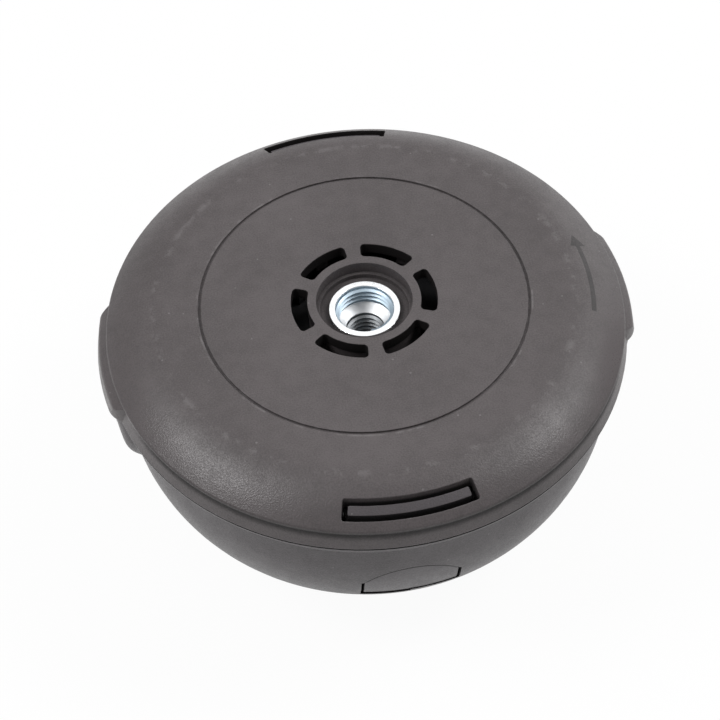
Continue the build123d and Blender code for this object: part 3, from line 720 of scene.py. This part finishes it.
def coil(name, sizes, length, lean, place):
    """A round-wire spring along its own axis."""
    return wind(
        name,
        True,
        {
            "Radius": sizes["radius"],
            "Height": length - sizes["wire"],
            "Turns": sizes["turns"],
            "Steps": 48,
            "Section Radius": sizes["wire"] / 2,
            "Section Sides": 14,
            "Right Hand": True,
            "Lean": lean,
            "Place": place,
            "Finish": wire_finish,
        },
    )


bump_length = BUMP_COIL["head"] - BUMP_COIL["foot"]
bump_start = (0.0, 0.0, BUMP_COIL["foot"] + BUMP_COIL["wire"] / 2)
bump_coil = coil("bump_coil", BUMP_COIL, bump_length, (0.0, 0.0, 0.0), bump_start)
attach(bump_coil, "housing")
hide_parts("bump_spring")
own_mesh(bump_coil)

latch_length = LATCH_COIL["outer"] - LATCH_COIL["inner"]
for side, facing, twist in (("front", -1, 0.0), ("rear", 1, math.pi)):
    start = facing * (LATCH_COIL["inner"] + LATCH_COIL["wire"] / 2)
    spring = coil(
        f"{side}_latch_coil",
        LATCH_COIL,
        latch_length,
        (-facing * math.pi / 2, twist, 0.0),
        (0.0, start, LATCH_COIL_Z),
    )
    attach(spring, "housing")
    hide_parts(f"{side}_latch_spring")
    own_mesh(spring)


# Floor, sky and lamps
FLOOR_REACH = 3.0
FLOOR_Z = -0.1 * MM
FLOOR_WHITE = 0.95
SHEEN_LEFT = 0.78
SHEEN_RIGHT = 0.56
SHEEN_TURN = 0.15
SKY_FRONT = 0.32
SKY_BACK = 0.5
LAMPS = {
    "left_softbox": {"place": (-0.62, -0.02, 0.86), "size": 0.36, "power": 5.2},
    "right_softbox": {"place": (0.64, 0.00, 0.85), "size": 0.36, "power": 4.6},
    "back_softbox": {"place": (0.10, 0.70, 0.90), "size": 0.60, "power": 1.0},
    "side_softbox": {"place": (0.75, 0.66, 0.40), "size": 0.50, "power": 1.2},
}


def make_floor():
    """A pale floor that shows white from above, keeps a soft shadow and is clear from below."""
    mesh = bpy.data.meshes.new("studio_floor")
    ways = ((-1, -1), (1, -1), (1, 1), (-1, 1))
    corners = [(x * FLOOR_REACH, y * FLOOR_REACH, FLOOR_Z) for x, y in ways]
    mesh.from_pydata(corners, [], [(0, 1, 2, 3)])
    floor = bpy.data.objects.new("studio_floor", mesh)
    bpy.context.scene.collection.objects.link(floor)
    material = bpy.data.materials.new("studio_floor")
    material.use_nodes = True
    tree = material.node_tree
    tree.nodes.clear()
    path = put(tree, "ShaderNodeLightPath").outputs
    seen = calc(tree, "MAXIMUM", path["Is Camera Ray"], path["Is Transmission Ray"])
    seen = calc(tree, "MULTIPLY", seen, FLOOR_WHITE)
    place = put(tree, "ShaderNodeTexCoord").outputs["Object"]
    across = put(tree, "ShaderNodeSeparateXYZ", {0: place}).outputs["X"]
    sheen = ramp(tree, across, -SHEEN_TURN, SHEEN_TURN, SHEEN_LEFT, SHEEN_RIGHT)
    share = calc(tree, "MAXIMUM", seen, calc(tree, "MULTIPLY", path["Is Glossy Ray"], sheen))
    paint = put(tree, "ShaderNodeBsdfDiffuse", {"Color": rgb(0.86, 0.86, 0.86)})
    glow = put(tree, "ShaderNodeEmission", {"Color": rgb(1.0, 1.0, 1.0), "Strength": 1.0})
    mixed = put(tree, "ShaderNodeMixShader", {0: share, 1: paint.outputs[0], 2: glow.outputs[0]})
    under = put(tree, "ShaderNodeNewGeometry").outputs["Backfacing"]
    clear = put(tree, "ShaderNodeBsdfTransparent")
    sided = put(tree, "ShaderNodeMixShader", {0: under, 1: mixed.outputs[0], 2: clear.outputs[0]})
    end = put(tree, "ShaderNodeOutputMaterial", {"Surface": sided.outputs[0]})
    end.is_active_output = True
    mesh.materials.append(material)


def make_sky():
    """A white studio that is brighter behind the head than in front of it."""
    world = bpy.data.worlds.new("studio")
    world.use_nodes = True
    tree = world.node_tree
    tree.nodes.clear()
    path = put(tree, "ShaderNodeLightPath").outputs
    seen = calc(tree, "MAXIMUM", path["Is Camera Ray"], path["Is Transmission Ray"])
    facing = put(tree, "ShaderNodeTexCoord").outputs["Generated"]
    depth = put(tree, "ShaderNodeSeparateXYZ", {0: facing}).outputs["Y"]
    lit = ramp(tree, depth, -0.4, 0.6, SKY_FRONT, SKY_BACK)
    strength = put(tree, "ShaderNodeMix", {0: seen, 2: lit, 3: 1.0}, data_type="FLOAT").outputs[0]
    sky = put(tree, "ShaderNodeBackground", {"Color": rgb(1.0, 1.0, 1.0), "Strength": strength})
    put(tree, "ShaderNodeOutputWorld", {"Surface": sky.outputs[0]})
    bpy.context.scene.world = world


def add_lamp(name, place, size, power):
    """A soft square lamp that faces the head."""
    light = bpy.data.lights.new(name, "AREA")
    light.size = size
    light.energy = power
    lamp = bpy.data.objects.new(name, light)
    lamp.location = place
    lamp.rotation_euler = (AIM - Vector(place)).to_track_quat("-Z", "Y").to_euler()
    bpy.context.scene.collection.objects.link(lamp)


make_floor()
make_sky()
for lamp_name, lamp in LAMPS.items():
    add_lamp(lamp_name, **lamp)
bpy.context.scene.view_settings.view_transform = "Standard"
